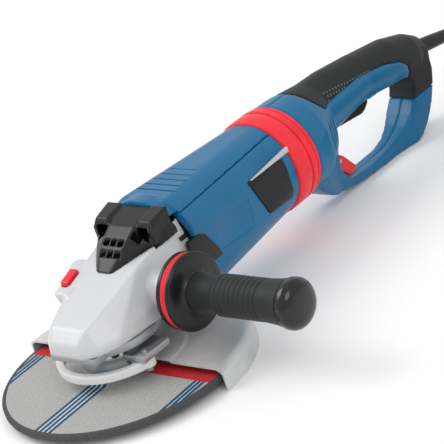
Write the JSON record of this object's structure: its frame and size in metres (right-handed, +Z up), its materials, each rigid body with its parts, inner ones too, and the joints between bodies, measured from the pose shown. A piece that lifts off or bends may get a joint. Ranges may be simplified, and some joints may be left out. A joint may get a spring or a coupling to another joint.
{
  "type": "angle grinder",
  "caption": "Large angle grinder: light grey gear head with a guarded grinding wheel, blue motor housing, side handle, and a swivelling bow handle with trigger and coiled lead.",
  "frame": {"origin": "spindle axis at the underside of the clamping nut", "axes": "+X from the spindle to the rear handle along the motor axis, +Z up along the spindle away from the wheel, -Y towards the side handle"},
  "size_m": [0.7482, 0.3295, 0.136],
  "materials": {
    "cast_housing": "satin paint on a magnesium casting",
    "bare_casting": "machined casting",
    "dark_screws": "blackened",
    "black_plastic": "fine grain",
    "bearing_steel": "ground",
    "blue_plastic": "satin glass-filled nylon",
    "pad_plastic": "satin",
    "laminations": "stacked sheets",
    "copper_wire": "enamelled copper",
    "bridge_plastic": "moulded",
    "brass_tube": "drawn",
    "carbon": "pressed carbon",
    "spring_steel": "wire",
    "module_potting": "potted",
    "hub_plastic": "moulded",
    "red_rubber": "satin",
    "zinc_steel": "zinc plated",
    "damper_rubber": "satin",
    "flange_plastic": "fine grain",
    "core_plastic": "moulded",
    "grip_rubber": "patterned soft grip",
    "cap_plastic": "gloss",
    "spindle_steel": "ground",
    "gear_steel": "hardened",
    "flange_steel": "turned",
    "wheel_abrasive": "bonded abrasive with a printed paper",
    "nut_steel": "phosphated",
    "fan_plastic": "moulded",
    "commutator_copper": "turned copper",
    "guard_paint": "light grey paint on pressed steel",
    "guard_band_steel": "zinc plated",
    "lever_paint": "light grey paint",
    "red_plastic": "satin",
    "soft_grip": "dotted soft grip",
    "switch_plastic": "moulded",
    "cord_rubber": "satin",
    "trigger_plastic": "fine grain",
    "tie_fabric": "hook tape",
    "plug_plastic": "moulded"
  },
  "bodies": {
    "machine": {"gear_housing": "cast_housing", "bearing_flange": "bare_casting", "flange_screws": "dark_screws", "air_deflector": "black_plastic", "baffle_plate": "black_plastic", "housing_screws": "dark_screws", "spindle_bearings": "bearing_steel", "front_bearing": "bearing_steel", "rear_bearing": "bearing_steel", "motor_housing": "blue_plastic", "top_cover": "blue_plastic", "side_pads": "pad_plastic", "field_core": "laminations", "field_coils": "copper_wire", "brush_bridge": "bridge_plastic", "brush_holders": "brass_tube", "carbon_brushes": "carbon", "brush_springs": "spring_steel", "speed_module": "module_potting", "swivel_hub": "hub_plastic", "swivel_ring": "red_rubber", "side_handle_bolt": "zinc_steel", "side_handle_washer": "black_plastic", "side_handle_damper": "damper_rubber", "side_handle_flange": "flange_plastic", "side_handle_core": "core_plastic", "side_handle_grip": "grip_rubber", "side_handle_cap": "cap_plastic", "power_cord": "cord_rubber", "cord_coil": "cord_rubber", "cord_tie": "tie_fabric", "plug": "plug_plastic"},
    "wheel_spindle": {"spindle": "spindle_steel", "crown_gear": "gear_steel", "backing_flange": "flange_steel", "grinding_wheel": "wheel_abrasive", "clamping_nut": "nut_steel"},
    "armature": {"armature_shaft": "spindle_steel", "pinion": "gear_steel", "pinion_nut": "dark_screws", "fan": "fan_plastic", "armature_core": "laminations", "armature_windings": "copper_wire", "commutator": "commutator_copper"},
    "guard": {"guard_shell": "guard_paint", "guard_band": "guard_band_steel", "clamp_block": "guard_band_steel", "clamp_screw": "zinc_steel"},
    "guard_lever": {"clamp_lever": "lever_paint"},
    "spindle_lock": {"lock_button": "red_plastic", "lock_pin": "zinc_steel"},
    "rear_handle": {"handle_shell_left": "blue_plastic", "handle_shell_right": "blue_plastic", "grip_overmould": "soft_grip", "handle_screws": "dark_screws", "pivot_pins": "zinc_steel", "switch_body": "switch_plastic", "strain_relief": "cord_rubber"},
    "switch_trigger": {"trigger": "trigger_plastic"},
    "swivel_release": {"release_lever": "red_plastic"}
  },
  "joints": [
    {"name": "spindle_spin", "type": "hinge", "parent": "machine", "child": "wheel_spindle", "pos_m": [0, 0, 0], "axis": [0, 0, 1], "continuous": true},
    {"name": "armature_spin", "type": "hinge", "parent": "machine", "child": "armature", "pos_m": [0, 0, 0.079], "axis": [1, 0, 0], "continuous": true},
    {"name": "guard_turn", "type": "hinge", "parent": "machine", "child": "guard", "pos_m": [0, 0, 0.018], "axis": [0, 0, 1], "range_deg": [-100, 40]},
    {"name": "guard_lever_swing", "type": "hinge", "parent": "guard", "child": "guard_lever", "pos_m": [-0.014, -0.05, 0.022], "axis": [0, 0, 1], "range_deg": [0, 50]},
    {"name": "spindle_lock_press", "type": "slide", "parent": "machine", "child": "spindle_lock", "axis": [0, 0, -1], "range_m": [0, 0.0025], "stiffness_N_per_m": 600, "springref_m": -0.002},
    {"name": "handle_turn", "type": "hinge", "parent": "machine", "child": "rear_handle", "pos_m": [0.267, 0, 0.079], "axis": [1, 0, 0], "range_deg": [-90, 90], "deforming": ["power_cord"]},
    {"name": "trigger_press", "type": "hinge", "parent": "rear_handle", "child": "switch_trigger", "pos_m": [0.348, 0, 0.077], "axis": [0, -1, 0], "range_deg": [0, 6], "stiffness_Nm_per_rad": 4, "springref_deg": -3.44},
    {"name": "swivel_release_press", "type": "hinge", "parent": "rear_handle", "child": "swivel_release", "pos_m": [0.334, 0, 0.034], "axis": [0, 1, 0], "range_deg": [0, 6], "stiffness_Nm_per_rad": 1.5, "springref_deg": -4.58}
  ],
  "couplings": [
    {"joint": "armature_spin", "follows": "spindle_spin", "ratio": 3.7273}
  ]
}
